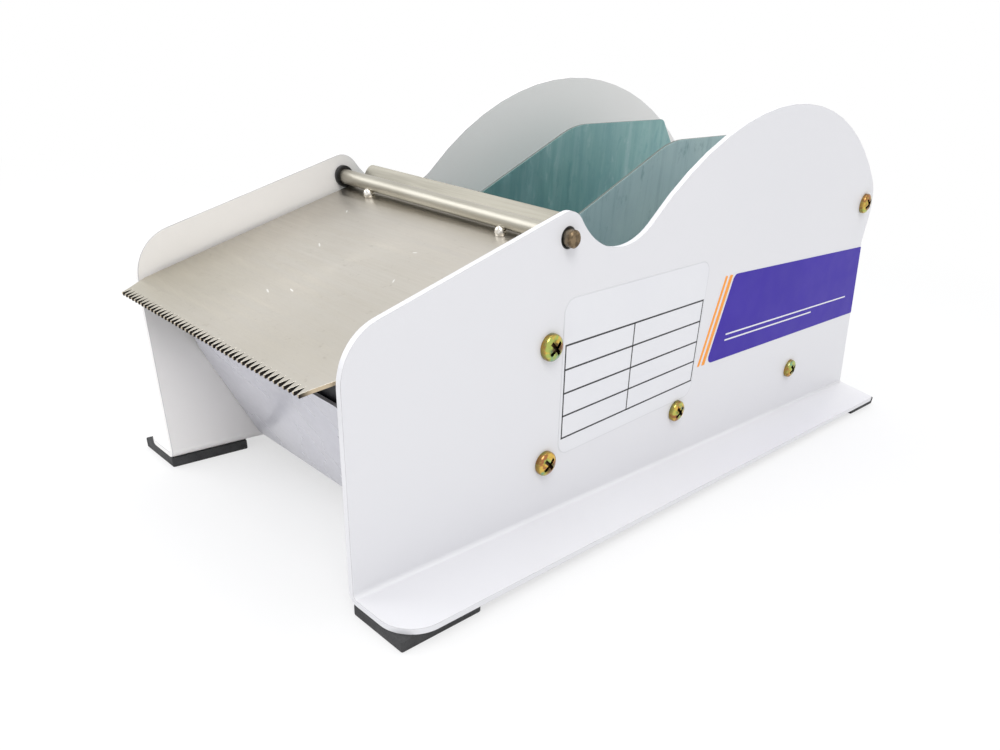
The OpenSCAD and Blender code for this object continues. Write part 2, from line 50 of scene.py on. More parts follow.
# ---- places taken from the frame --------------------------------------------
panel_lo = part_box("right_side_panel")[0]
guide_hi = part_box("right_tape_guide")[1]
plate_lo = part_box("cutter_plate")[0]
rod_lo, rod_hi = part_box("hinge_rod")
bristle_lo, bristle_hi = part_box("brush_bristles")

FRONT_Y = panel_lo.y                      # front edge of the side panels
INNER_X = panel_lo.x                      # inner face of the right panel
OUTER_X = INNER_X + 1.8 * MM              # its outer face
HINGE = Vector((0, (rod_lo.y + rod_hi.y) / 2, (rod_lo.z + rod_hi.z) / 2))
SLOPE = math.radians(19)                  # slope of the closed cutter plate
# Ends of the panels' slanted rear edge, in millimetres behind the front edge and up
REAR_TOP, REAR_FOOT = (267, 76), (293.5, 6.6)
REAR_SLOPE = (REAR_FOOT[0] - REAR_TOP[0]) / (REAR_TOP[1] - REAR_FOOT[1])
# The right panel's screws: millimetres behind its front edge and up
SCREW_AXES = ((65.2, 59.7), (67.2, 23.9), (136, 25), (224.5, 25), (256.5, 92))


# ---- camera -------------------------------------------------------------------
CAMERA_AT = (0.18238, -0.22474, 0.12040)
CAMERA_YAW, CAMERA_PITCH, CAMERA_ROLL = 0.6633, -0.5460, 0.1264
CAMERA_LENS = 26.205
CAMERA_SHIFT = (-0.0747, 0.1590)


def make_camera():
    yaw, pitch, roll = CAMERA_YAW, CAMERA_PITCH, CAMERA_ROLL
    look = Vector((-math.sin(yaw) * math.cos(pitch), math.cos(yaw) * math.cos(pitch),
                   math.sin(pitch)))
    right = look.cross(Vector((0, 0, 1))).normalized()
    up = right.cross(look)
    right_rolled = right * math.cos(roll) + up * math.sin(roll)
    up_rolled = up * math.cos(roll) - right * math.sin(roll)
    data = bpy.data.cameras.new("camera")
    data.sensor_fit = "HORIZONTAL"
    data.sensor_width = 36
    data.lens = CAMERA_LENS
    data.shift_x, data.shift_y = CAMERA_SHIFT
    data.clip_start = 0.01
    data.clip_end = 20
    camera = bpy.data.objects.new("camera", data)
    turn = Matrix((right_rolled, up_rolled, -look)).transposed().to_4x4()
    camera.matrix_world = Matrix.Translation(CAMERA_AT) @ turn
    bpy.context.scene.collection.objects.link(camera)
    bpy.context.scene.camera = camera


make_camera()


# ---- materials ----------------------------------------------------------------
class Finish:
    """A node material: a Principled shader and short calls for what drives it."""

    def __init__(self, name, color=(0.8, 0.8, 0.8), **sockets):
        self.mat = bpy.data.materials.new(name)
        self.mat.use_nodes = True
        self.tree = self.mat.node_tree
        self.shader = self.tree.nodes["Principled BSDF"]
        self.shader.inputs["Base Color"].default_value = (*color, 1)
        for socket, value in sockets.items():
            self.shader.inputs[socket.replace("_", " ")].default_value = value
        self.coords = self.node("ShaderNodeTexCoord").outputs["Object"]

    def node(self, kind, inputs=(), **settings):
        node = self.tree.nodes.new(kind)
        for key, value in settings.items():
            setattr(node, key, value)
        for key, value in dict(inputs).items():
            self.feed(node.inputs[key], value)
        return node

    def feed(self, socket, value):
        if isinstance(value, bpy.types.NodeSocket):
            self.tree.links.new(value, socket)
        else:
            socket.default_value = value

    def set(self, socket, value):
        self.feed(self.shader.inputs[socket], value)

    def math(self, operation, a, b=0.0):
        return self.node("ShaderNodeMath", {0: a, 1: b}, operation=operation).outputs[0]

    def noise(self, scale, detail=2.0, roughness=0.5, stretch=(1, 1, 1), seed=0.0,
              distortion=0.0):
        """Noise over the object; stretch multiplies the coordinates of each axis."""
        vector = self.node("ShaderNodeMapping", {"Vector": self.coords, "Scale": stretch})
        return self.node("ShaderNodeTexNoise", {
            "Vector": vector.outputs[0], "W": seed, "Scale": scale, "Detail": detail,
            "Roughness": roughness, "Distortion": distortion},
            noise_dimensions="4D").outputs["Fac"]

    def range(self, value, low, high, to_low=0.0, to_high=1.0):
        """A smooth step from to_low at low to to_high at high."""
        return self.node("ShaderNodeMapRange", {
            "Value": value, "From Min": low, "From Max": high,
            "To Min": to_low, "To Max": to_high},
            interpolation_type="SMOOTHSTEP").outputs["Result"]

    def mix(self, factor, a, b):
        """Colour a at factor 0, b at factor 1."""
        colours = [c if isinstance(c, bpy.types.NodeSocket) else (*c, 1) for c in (a, b)]
        node = self.node("ShaderNodeMix", data_type="RGBA", blend_type="MIX")
        self.feed(node.inputs["Factor"], factor)
        self.feed(node.inputs[6], colours[0])
        self.feed(node.inputs[7], colours[1])
        return node.outputs[2]

    def axis(self, index):
        """One coordinate of the object: 0 across, 1 along, 2 up."""
        return self.node("ShaderNodeSeparateXYZ", {0: self.coords}).outputs[index]

    def facing(self, direction):
        """How squarely the surface faces a direction of the object, from -1 to 1."""
        normal = self.node("ShaderNodeTexCoord").outputs["Normal"]
        return self.node("ShaderNodeVectorMath", {0: normal, 1: tuple(direction)},
                         operation="DOT_PRODUCT").outputs["Value"]

    def spot(self, centre, half_sizes, turn=(0, 0, 0)):
        """1 inside a soft ellipsoid about a point of the object, 0 outside."""
        local = self.node("ShaderNodeVectorMath", {0: self.coords, 1: tuple(centre)},
                          operation="SUBTRACT").outputs[0]
        turned = self.node("ShaderNodeMapping", {"Vector": local, "Rotation": turn}).outputs[0]
        scaled = self.node("ShaderNodeVectorMath", {
            0: turned, 1: tuple(1 / s for s in half_sizes)}, operation="MULTIPLY").outputs[0]
        length = self.node("ShaderNodeVectorMath", {0: scaled}, operation="LENGTH")
        return self.range(length.outputs["Value"], 1.0, 0.6)

    def bump(self, height, distance, strength):
        node = self.node("ShaderNodeBump", {"Height": height, "Distance": distance,
                                            "Strength": strength})
        self.set("Normal", node.outputs[0])


def white_paint():
    """Smooth white powder coat with a little orange peel."""
    f = Finish("white_paint", Roughness=0.34, Specular_IOR_Level=0.5)
    cloud = f.range(f.noise(9, 2), 0.2, 0.8)
    base = f.mix(cloud, (0.745, 0.742, 0.768), (0.76, 0.755, 0.778))
    # the left panel's paint is a little warmer, and painted lighter: painted light that brightens
    # that panel
    base = f.mix(f.range(f.axis(0), -45 * MM, -49 * MM), base, (0.87, 0.85, 0.835))
    f.set("Base Color", base)
    f.set("Roughness", f.range(f.noise(35, 3, seed=3), 0.2, 0.8, 0.32, 0.37))
    f.bump(f.noise(700, 2, seed=5), 0.02 * MM, 0.35)
    return f.mat


def painted_edge_shade():
    """The same paint, greyer where it runs over a cut edge: painted shade along the rounded edge.
    """
    f = Finish("painted_edge_shade", Roughness=0.4, Specular_IOR_Level=0.4)
    f.set("Base Color", f.mix(f.range(f.noise(120, 3), 0.3, 0.7), (0.47, 0.465, 0.475),
                              (0.60, 0.595, 0.605)))
    f.bump(f.noise(700, 2, seed=5), 0.02 * MM, 0.35)
    return f.mat


def trough_paint():
    """Lilac grey, with faint flecks."""
    f = Finish("trough_paint", Roughness=0.24, Specular_IOR_Level=0.5)
    cloud = f.range(f.noise(26, 3, stretch=(1, 1, 0.5)), 0.25, 0.75)
    base = f.mix(cloud, (0.57, 0.565, 0.625), (0.625, 0.62, 0.665))
    # painted shade: greyer where the wall runs up under the plate and beside the left panel
    base = f.mix(f.range(f.axis(2), 22 * MM, 50 * MM, 0.0, 0.30), base, (0.42, 0.415, 0.47))
    base = f.mix(f.range(f.axis(0), -20 * MM, -49 * MM, 0.0, 0.35), base, (0.42, 0.42, 0.45))
    fleck = f.range(f.noise(420, 3, 0.7, seed=8), 0.35, 0.75)
    f.set("Base Color", f.mix(f.math("MULTIPLY", fleck, 0.25), base, (0.74, 0.74, 0.79)))
    f.set("Roughness", f.range(f.noise(60, 3, seed=3), 0.3, 0.7, 0.20, 0.30))
    f.bump(f.noise(300, 3, seed=6), 0.015 * MM, 0.3)
    return f.mat


# Scratches on the cutter plate: millimetres across and in front of the hinge, half the
# length in millimetres, and the turn in radians
SCRATCHES = ((-17, 30, 1.7, 0.5), (-5.5, 53, 1.6, 0.35), (0.5, 49.5, 1.4, 0.2),
             (22, 33, 1.1, 0.9), (-30, 12, 1.2, 0.7), (14, 20, 0.9, -0.4))


def brushed_steel():
    """The cutter plate: ground across, darker towards the hinge, sawn along its front edge."""
    f = Finish("brushed_steel", Metallic=1.0, Roughness=0.34, Anisotropic=0.35)
    grain = f.noise(300, 3, 0.6, stretch=(0.07, 1.4, 1.4))
    cloud = f.range(f.noise(14, 4, 0.6, seed=2), 0.25, 0.75)
    base = f.mix(cloud, (0.545, 0.515, 0.455), (0.625, 0.595, 0.54))
    base = f.mix(f.range(grain, 0.25, 0.7, 0.0, 0.35), base, (0.44, 0.41, 0.355))
    speckle = f.range(f.noise(420, 2, 0.7, seed=9), 0.60, 0.80)
    base = f.mix(f.math("MULTIPLY", speckle, 0.45), base, (0.33, 0.30, 0.25))
    # olive haze towards the left front, and darker steel towards the hinge
    y = f.axis(1)
    left = f.math("MULTIPLY", f.range(f.axis(0), 8 * MM, -48 * MM),
                  f.range(y, HINGE.y - 24 * MM, HINGE.y - 70 * MM))
    base = f.mix(f.math("MULTIPLY", left, 0.55), base, (0.46, 0.43, 0.345))
    hinge_darkening = f.range(y, HINGE.y - 34 * MM, HINGE.y - 2 * MM, 0.0, 0.45)
    base = f.mix(hinge_darkening, base, (0.44, 0.415, 0.38))
    # painted shade: the lip behind the hinge is painted darker, dimming the light it mirrors
    lip = f.range(y, HINGE.y + 1.5 * MM, HINGE.y + 3 * MM)
    base = f.mix(lip, base, f.mix(f.range(grain, 0.3, 0.7), (0.19, 0.18, 0.15),
                                  (0.33, 0.315, 0.27)))
    scratches = 0.0
    for x, back, length, turn in SCRATCHES:
        at = (x * MM, HINGE.y - back * MM, HINGE.z - 3.3 * MM - back * MM * math.tan(SLOPE))
        mark = f.spot(at, (length * MM, 0.28 * MM, 1.5 * MM), (0, 0, turn))
        scratches = f.math("MAXIMUM", scratches, mark)
    base = f.mix(f.math("MULTIPLY", scratches, 0.75), base, (0.93, 0.92, 0.89))
    # cut faces: tan at the sides and at the teeth's tips, painted black between the teeth as
    # painted shade
    flat = f.math("ABSOLUTE", f.facing((0, -math.sin(SLOPE), math.cos(SLOPE))))
    cut = f.range(flat, 0.75, 0.35)
    side = f.range(f.math("ABSOLUTE", f.axis(0)), 45.2 * MM, 46.2 * MM)
    teeth = f.math("MULTIPLY", f.range(y, plate_lo.y + 3.4 * MM, plate_lo.y + 3.1 * MM),
                   f.math("SUBTRACT", 1.0, side))
    tips = f.range(y, plate_lo.y + 0.28 * MM, plate_lo.y + 0.12 * MM)
    sawn = f.mix(f.math("MULTIPLY", teeth, f.math("SUBTRACT", 1.0, tips)),
                 (0.58, 0.48, 0.34), (0.025, 0.022, 0.02))
    base = f.mix(cut, base, sawn)
    f.set("Base Color", base)
    f.set("Roughness", f.range(grain, 0.25, 0.75, 0.29, 0.44))
    f.bump(f.noise(900, 2, 0.5, stretch=(0.04, 1, 1), seed=4), 0.012 * MM, 0.5)
    return f.mat


def drawn_steel():
    """The hinge rod, with brown rust on the ends that stand out of the panels."""
    f = Finish("drawn_steel", Metallic=1.0, Roughness=0.4)
    streak = f.noise(300, 3, 0.6, stretch=(0.03, 1, 1))
    base = f.mix(f.range(streak, 0.3, 0.7), (0.37, 0.35, 0.295), (0.53, 0.51, 0.45))
    base = f.mix(f.range(f.noise(40, 3, seed=5), 0.5, 0.75, 0, 0.5), base, (0.27, 0.245, 0.19))
    aside = f.math("ABSOLUTE", f.axis(0))
    end = f.math("MULTIPLY", f.range(aside, 50.8 * MM, 53.5 * MM, 0.55, 1.0),
                 f.range(aside, 49.5 * MM, 51 * MM))
    rust = f.mix(f.range(f.noise(700, 3, seed=7), 0.35, 0.65), (0.11, 0.08, 0.05),
                 (0.26, 0.19, 0.115))
    f.set("Base Color", f.mix(end, base, rust))
    f.set("Roughness", f.range(streak, 0.25, 0.75, 0.32, 0.46))
    f.bump(f.noise(900, 2, stretch=(0.03, 1, 1), seed=4), 0.01 * MM, 0.5)
    return f.mat


def weld_steel():
    f = Finish("weld_steel", Metallic=1.0, Roughness=0.22)
    f.set("Base Color", f.mix(f.range(f.noise(900, 3), 0.3, 0.7), (0.62, 0.57, 0.50),
                              (0.90, 0.88, 0.84)))
    f.bump(f.noise(1100, 3, seed=2), 0.08 * MM, 0.8)
    return f.mat


def blue_zinc():
    """The tape guides: blue-green passivated zinc with streaks and mottling."""
    f = Finish("blue_zinc", Metallic=0.85, Roughness=0.42)
    streak = f.noise(150, 4, 0.65, stretch=(1, 1.6, 0.13))
    mottle = f.noise(260, 4, 0.7, stretch=(1, 1, 0.45), seed=3)
    cloud = f.range(f.noise(30, 4, 0.6, seed=5, distortion=0.4), 0.3, 0.7)
    # painted shade: the left guide is painted a deeper green than the paler right one, most of
    # all low down in the bay, though both are one zinc
    left = f.range(f.axis(0), 5 * MM, -5 * MM)
    low = f.range(f.axis(2), guide_hi.z - 2 * MM, guide_hi.z - 42 * MM)
    pale = f.mix(cloud, (0.45, 0.60, 0.61), (0.53, 0.68, 0.665))
    deep_painted_shade = f.mix(cloud, (0.225, 0.385, 0.40), (0.27, 0.45, 0.435))
    base = f.mix(left, pale, deep_painted_shade)
    # painted shade low down in the left guide's bay
    base = f.mix(f.math("MULTIPLY", low, f.math("MULTIPLY", left, 0.65)), base,
                 (0.115, 0.27, 0.275))
    base = f.mix(f.range(streak, 0.42, 0.75, 0, 0.30), base, (0.52, 0.64, 0.66))
    base = f.mix(f.range(streak, 0.5, 0.25, 0, 0.40), base, (0.16, 0.29, 0.33))
    base = f.mix(f.range(mottle, 0.45, 0.30, 0, 0.45), base, (0.14, 0.30, 0.31))
    base = f.mix(f.range(mottle, 0.55, 0.75, 0, 0.40), base, (0.56, 0.68, 0.69))
    # dark grey along the cut edge
    rim = f.range(f.math("ABSOLUTE", f.facing((1, 0, 0))), 0.8, 0.4)
    f.set("Base Color", f.mix(rim, base, (0.13, 0.16, 0.15)))
    f.set("Roughness", f.range(mottle, 0.3, 0.7, 0.36, 0.52))
    f.bump(f.noise(700, 2, 0.6, stretch=(1, 1.2, 0.1), seed=4), 0.015 * MM, 0.5)
    return f.mat


def bright_zinc():
    f = Finish("bright_zinc", Metallic=1.0, Roughness=0.26)
    cloud = f.range(f.noise(160, 3), 0.3, 0.7)
    f.set("Base Color", f.mix(cloud, (0.66, 0.68, 0.71), (0.71, 0.725, 0.75)))
    f.set("Roughness", f.range(f.noise(500, 3, seed=2), 0.3, 0.7, 0.26, 0.31))
    f.bump(f.noise(800, 2, stretch=(0.2, 1, 1), seed=4), 0.004 * MM, 0.3)
    return f.mat


def yellow_zinc():
    """The screws: gold, green and copper patches, with painted shade in the recesses."""
    f = Finish("yellow_zinc", Metallic=1.0, Roughness=0.16)
    patch = f.noise(330, 3, 0.6, distortion=0.8)
    tint = f.noise(260, 2, 0.5, seed=6, distortion=0.6)
    base = f.mix(f.range(patch, 0.42, 0.56), (0.72, 0.47, 0.10), (0.42, 0.50, 0.13))
    base = f.mix(f.range(tint, 0.52, 0.62), base, (0.40, 0.17, 0.07))
    base = f.mix(f.range(tint, 0.44, 0.34), base, (0.24, 0.46, 0.27))
    # browned rims, and painted shade in and round the cross recesses
    flat = f.node("ShaderNodeCombineXYZ", {"X": 0.0, "Y": f.axis(1), "Z": f.axis(2)}).outputs[0]
    nearest = 1.0
    for back, high in SCREW_AXES:
        away = f.node("ShaderNodeVectorMath", {0: flat, 1: (0, FRONT_Y + back * MM, high * MM)},
                      operation="DISTANCE").outputs["Value"]
        nearest = f.math("MINIMUM", nearest, away)
    recess_painted_shade = f.math("MULTIPLY", f.range(nearest, 2.9 * MM, 1.7 * MM, 0.0, 0.9),
                   f.range(f.noise(420, 2, 0.6, seed=9), 0.40, 0.56))
    base = f.mix(recess_painted_shade, base, (0.10, 0.065, 0.025))
    base = f.mix(f.range(nearest, 3.3 * MM, 3.8 * MM, 0.0, 0.65), base, (0.26, 0.16, 0.05))
    # painted shade at the bottom of the cross recesses
    deep_painted_shade = f.math("MULTIPLY", f.range(nearest, 2.75 * MM, 2.4 * MM),
                  f.range(f.math("ABSOLUTE", f.axis(0)), OUTER_X + 2.3 * MM, OUTER_X + 1.9 * MM))
    f.set("Base Color", f.mix(deep_painted_shade, base, (0.05, 0.03, 0.015)))
    f.set("Roughness", f.range(patch, 0.3, 0.7, 0.1, 0.24))
    f.bump(f.noise(600, 2, seed=8), 0.03 * MM, 0.7)
    return f.mat


def moulded_plastic(name, dark, light, rough=(0.35, 0.5), grain=450, depth=0.02, **sockets):
    """Plastic or rubber in two near shades; depth is that of its grain in millimetres."""
    f = Finish(name, **sockets)
    f.set("Base Color", f.mix(f.range(f.noise(60, 3), 0.3, 0.7), dark, light))
    f.set("Roughness", f.range(f.noise(90, 3, seed=3), 0.3, 0.7, *rough))
    f.bump(f.noise(grain, 3, seed=5), depth * MM, 0.6)
    return f.mat


def cut_rubber():
    """Foot pads: matt black, with open pores."""
    f = Finish("cut_rubber", Specular_IOR_Level=0.35)
    cell = f.node("ShaderNodeTexVoronoi", {"Vector": f.coords, "Scale": 1500.0})
    pores = f.range(cell.outputs["Distance"], 0.0, 0.5)
    base = f.mix(f.range(f.noise(120, 4), 0.3, 0.7), (0.022, 0.022, 0.024), (0.045, 0.045, 0.047))
    f.set("Base Color", f.mix(f.math("MULTIPLY", pores, 0.3), base, (0.065, 0.065, 0.066)))
    f.set("Roughness", f.range(f.noise(300, 3, seed=2), 0.3, 0.7, 0.62, 0.8))
    f.bump(f.math("ADD", pores, f.noise(500, 3, seed=4)), 0.08 * MM, 0.7)
    return f.mat


def nylon_bristle():
    """Straw-coloured strands, paler towards their tips."""
    f = Finish("nylon_bristle")
    strand = f.noise(900, 1, stretch=(1, 1, 0.02))
    base = f.mix(f.range(strand, 0.3, 0.7), (0.50, 0.43, 0.30), (0.76, 0.70, 0.57))
    tip = f.range(f.axis(2), bristle_hi.z - 26 * MM, bristle_hi.z, 0, 0.45)
    f.set("Base Color", f.mix(tip, base, (0.80, 0.76, 0.66)))
    f.set("Roughness", f.range(strand, 0.3, 0.7, 0.35, 0.5))
    f.bump(f.noise(1500, 1, stretch=(1, 1, 0.05), seed=3), 0.02 * MM, 0.4)
    return f.mat


def printed(name, dark, light, rough=(0.3, 0.4), **sockets):
    """Film or ink in two near shades."""
    f = Finish(name, **sockets)
    f.set("Base Color", f.mix(f.range(f.noise(45, 3), 0.3, 0.7), dark, light))
    f.set("Roughness", f.range(f.noise(120, 3, seed=2), 0.3, 0.7, *rough))
    f.bump(f.noise(900, 2, seed=3), 0.008 * MM, 0.4)
    return f.mat


FINISH = {
    "white_paint": white_paint(),
    "trough_paint": trough_paint(),
    "brushed_steel": brushed_steel(),
    "drawn_steel": drawn_steel(),
    "weld_steel": weld_steel(),
    "blue_zinc": blue_zinc(),
    "bright_zinc": bright_zinc(),
    "yellow_zinc": yellow_zinc(),
    "tank": moulded_plastic("tank_plastic", (0.005, 0.005, 0.007), (0.010, 0.010, 0.013),
                            (0.42, 0.54), 380, 0.03, Specular_IOR_Level=0.12),
    "brush_back": moulded_plastic("brush_plastic", (0.07, 0.085, 0.12), (0.10, 0.12, 0.16)),
    "bristle": nylon_bristle(),
    "rubber": moulded_plastic("bush_rubber", (0.005, 0.005, 0.006), (0.01, 0.01, 0.011),
                              (0.35, 0.5), 900, 0.015),
    "roller": moulded_plastic("roller_nylon", (0.62, 0.62, 0.585), (0.70, 0.70, 0.665),
                              (0.38, 0.5), 300, 0.03),
    "hub": moulded_plastic("hub_nylon", (0.66, 0.64, 0.56), (0.73, 0.71, 0.63)),
    "pad": cut_rubber(),
    "label": printed("label_film", (0.765, 0.765, 0.795), (0.78, 0.78, 0.805)),
    "painted_edge_shade": painted_edge_shade(),
    "label_ink": printed("label_ink", (0.012, 0.012, 0.014), (0.02, 0.02, 0.022)),
    "label_edge": printed("label_edge", (0.66, 0.66, 0.685), (0.70, 0.70, 0.72)),
    "violet": printed("violet_film", (0.037, 0.0145, 0.34), (0.042, 0.017, 0.36), (0.44, 0.5),
                      Specular_IOR_Level=0.2),
    "orange": printed("orange_film", (0.90, 0.30, 0.008), (0.95, 0.34, 0.012)),
}

# Finish of each CAD node
LOOK = {
    "left_side_panel": "white_paint", "right_side_panel": "white_paint",
    "front_trough": "trough_paint", "water_tank": "tank", "brush_back": "brush_back",
    "brush_bristles": "bristle", "cutter_plate": "brushed_steel", "hinge_rod": "drawn_steel",
    "tack_welds": "weld_steel", "left_hinge_bush": "rubber", "right_hinge_bush": "rubber",
    "front_tie_rod": "bright_zinc", "rear_tie_rod": "bright_zinc",
    "upper_tie_rod": "bright_zinc", "front_roller": "roller", "rear_roller": "roller",
    "left_tape_guide": "blue_zinc", "right_tape_guide": "blue_zinc",
    "left_guide_hubs": "hub", "right_guide_hubs": "hub",
    "left_panel_screws": "yellow_zinc", "right_panel_screws": "yellow_zinc",
    "trough_nuts": "bright_zinc", "front_left_pad": "pad", "front_right_pad": "pad",
    "rear_left_pad": "pad", "rear_right_pad": "pad",
}

# Width of the broken edge on each CAD node, in millimetres
EDGE = {
    "left_side_panel": 0.35, "right_side_panel": 0.35, "front_trough": 0.25,
    "water_tank": 0.35, "brush_back": 0.4, "cutter_plate": 0.08,
    "left_tape_guide": 0.15, "right_tape_guide": 0.15, "left_guide_hubs": 0.25,
    "right_guide_hubs": 0.25, "front_roller": 0.25, "rear_roller": 0.25,
    "front_tie_rod": 0.15, "rear_tie_rod": 0.15, "upper_tie_rod": 0.15,
    "left_hinge_bush": 0.2, "right_hinge_bush": 0.2, "trough_nuts": 0.3,
    "left_panel_screws": 0.08, "right_panel_screws": 0.08,
    "front_left_pad": 0.5, "front_right_pad": 0.5, "rear_left_pad": 0.5, "rear_right_pad": 0.5,
}

# Finish of the broken edge, where it differs from the node's own; the grey edge finish is painted
# shade
EDGE_LOOK = {"left_side_panel": "painted_edge_shade", "right_side_panel": "painted_edge_shade",
             "front_trough": "painted_edge_shade"}


def broken_edges(obj, width, look=None):
    """Joins the imported triangles into faces and rounds the sharp edges between them."""
    weld = obj.modifiers.new("join", "WELD")
    weld.merge_threshold = 0.0005 * MM
    flat = obj.modifiers.new("faces", "DECIMATE")
    flat.decimate_type = "DISSOLVE"
    flat.angle_limit = math.radians(0.4)
    bevel = obj.modifiers.new("edges", "BEVEL")
    bevel.limit_method = "ANGLE"
    bevel.angle_limit = math.radians(35)
    bevel.width = width * MM
    bevel.segments = 2
    bevel.use_clamp_overlap = True
    bevel.harden_normals = True
    if look:
        obj.data.materials.append(FINISH[look])
        bevel.material = len(obj.data.materials) - 1


for name, node in nodes.items():
    for slot in node.material_slots:
        slot.material = FINISH[LOOK[name]]
    if name in EDGE:
        broken_edges(node, EDGE[name], look=EDGE_LOOK.get(name))


# ---- making pieces --------------------------------------------------------------
class Build:
    """Collects vertices and faces of one piece."""

    def __init__(self):
        self.verts, self.faces = [], []

    def slab(self, outline, x0, x1):
        """A closed prism from a counter-clockwise (y, z) outline, in metres, x0 < x1."""
        n, base = len(outline), len(self.verts)
        self.verts += [(x0, y, z) for y, z in outline] + [(x1, y, z) for y, z in outline]
        self.faces.append([base + n + i for i in range(n)])
        self.faces.append([base + i for i in reversed(range(n))])
        for i in range(n):
            j = (i + 1) % n
            self.faces.append([base + i, base + j, base + n + j, base + n + i])

    def ring(self, outer, inner, x0, x1):
        """A closed band between two outlines with the same number of points."""
        n, base = len(outer), len(self.verts)
        for loop in (outer, inner):
            for x in (x0, x1):
                self.verts += [(x, y, z) for y, z in loop]
        ob, ot, ib, it = (base + k * n for k in range(4))
        for i in range(n):
            j = (i + 1) % n
            self.faces += [[ot + i, ot + j, it + j, it + i], [ob + j, ob + i, ib + i, ib + j],
                           [ob + i, ob + j, ot + j, ot + i], [ib + j, ib + i, it + i, it + j]]

    def piece(self, name, look, smooth=False):
        """One object of all that was collected, on the frame body."""
        mesh = bpy.data.meshes.new(name)
        mesh.from_pydata([tuple(v) for v in self.verts], [], self.faces)
        mesh.update()
        obj = bpy.data.objects.new(name, mesh)
        bpy.context.scene.collection.objects.link(obj)
        mesh.materials.append(FINISH[look])
        if smooth:
            mesh.shade_smooth()
        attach(obj, "frame")
        return obj


def rounded_outline(corners, steps=6):
    """A (y, z) outline, counter-clockwise, whose corners (y, z, radius) are rounded."""
    out = []
    n = len(corners)
    for i in range(n):
        b, r = Vector(corners[i][:2]), corners[i][2]
        u = (Vector(corners[i - 1][:2]) - b).normalized()
        v = (Vector(corners[(i + 1) % n][:2]) - b).normalized()
        if r <= 0:
            out.append((b.x, b.y))
            continue
        half = math.acos(max(-1, min(1, u.dot(v)))) / 2
        centre = b + (u + v).normalized() * (r / math.sin(half))
        start, end = b + u * (r / math.tan(half)) - centre, b + v * (r / math.tan(half)) - centre
        a0, a1 = math.atan2(start.y, start.x), math.atan2(end.y, end.x)
        turn = (a1 - a0 + math.pi) % (2 * math.pi) - math.pi
        for k in range(steps + 1):
            a = a0 + turn * k / steps
            out.append((centre.x + r * math.cos(a), centre.y + r * math.sin(a)))
    return out


# ---- label on the right side panel ----------------------------------------------
LABEL_T = 0.10 * MM                       # thickness of the films
INK_T = 0.02 * MM                         # how far the ink stands proud of them


def turned(points, centre, angle):
    """Label points (u, v) in millimetres as (y, z) in metres on the panel."""
    c, s = math.cos(angle), math.sin(angle)
    return [(FRONT_Y + (centre[0] + u * c - v * s) * MM, (centre[1] + u * s + v * c) * MM)
            for u, v in points]


def on_panel(corners, centre, angle):
    """The same for an outline of rounded corners (u, v, radius)."""
    return turned(rounded_outline(corners), centre, angle)


def make_label():
    """A blank film with a plain margin and a generic table of lines."""
    centre, angle = (107.2, 47.0), math.radians(4.2)
    half_u, half_v = 34.5, 14.5
    left, right, low, high = -half_u - 1.3, half_u + 1.0, -half_v - 5.7, half_v + 13.2

    def frame_of(inset, r):
        return on_panel([(left + inset, low + inset, r), (right - inset, low + inset, r),
                         (right - inset, high - inset, r), (left + inset, high - inset, r)],
                        centre, angle)

    base = Build()
    base.slab(frame_of(0.35, 4.0), OUTER_X, OUTER_X + LABEL_T)
    base.piece("label_sheet", "label")
    edge = Build()
    edge.ring(frame_of(0, 4.35), frame_of(0.35, 4.0), OUTER_X, OUTER_X + LABEL_T * 0.9)
    edge.piece("label_margin", "label_edge")

    ink = Build()
    top = OUTER_X + LABEL_T

    def stroke(u0, v0, u1, v1, w):
        a, b = Vector((u0, v0)), Vector((u1, v1))
        d = (b - a).normalized() * w / 2
        n = Vector((-d.y, d.x))
        quad = [a - d - n, b + d - n, b + d + n, a - d + n]
        ink.slab(turned([(q.x, q.y) for q in quad], centre, angle), top - INK_T, top + INK_T)

    rows = 4
    for k in range(rows + 1):
        v = half_v - 2 * half_v * k / rows
        stroke(-half_u, v, half_u, v, 0.55)
    split = -half_u + 2 * half_u * 0.455
    for u in (-half_u, split, half_u):
        for k in range(rows):
            v = half_v - 2 * half_v * k / rows
            stroke(u, v - 0.3, u, v - 2 * half_v / rows + 0.3, 0.5)
    ink.piece("label_table", "label_ink")


make_label()


# ---- violet band with orange bars -------------------------------------------------
def make_band():
    """A slanted violet film that ends at the panel's rear edge, two bars and two lines."""
    centre, angle = (208.0, 56.6), math.radians(1.4)
    half_v, slant = 15.6, 0.26

    def rear_u(v):
        # the panel's slanted rear edge, less a narrow margin
        back = REAR_TOP[0] + (REAR_TOP[1] - (centre[1] + v)) * REAR_SLOPE
        return (back - centre[0]) / math.cos(angle) + v * math.sin(angle) - 0.5

    front, shift = -57.0, slant * 2 * half_v

    def bar(u, width, r=0.4):
        return on_panel([(u, -half_v, r), (u + width, -half_v, r),
                         (u + width + shift, half_v, r), (u + shift, half_v, r)], centre, angle)

    band = Build()
    band.slab(on_panel([(front, -half_v, 2.5), (rear_u(-half_v), -half_v, 0.4),
                        (rear_u(half_v), half_v, 0.4), (front + shift, half_v, 2.5)],
                       centre, angle), OUTER_X, OUTER_X + LABEL_T)
    band.piece("violet_band", "violet")

    bars = Build()
    for start, width in ((front - 3.2, 1.9), (front - 6.0, 1.3)):
        bars.slab(bar(start, width), OUTER_X, OUTER_X + LABEL_T)
    bars.piece("orange_bars", "orange")

    lines = Build()
    top = OUTER_X + LABEL_T
    for u0, u1, v in ((front + 10, 58, -6.2), (front + 10, 24, -8.4)):
        quad = [(u0, v - 0.3), (u1, v - 0.3), (u1, v + 0.3), (u0, v + 0.3)]
        lines.slab(turned(quad, centre, angle), top - INK_T, top + INK_T)
    lines.piece("band_lines", "label")


make_band()


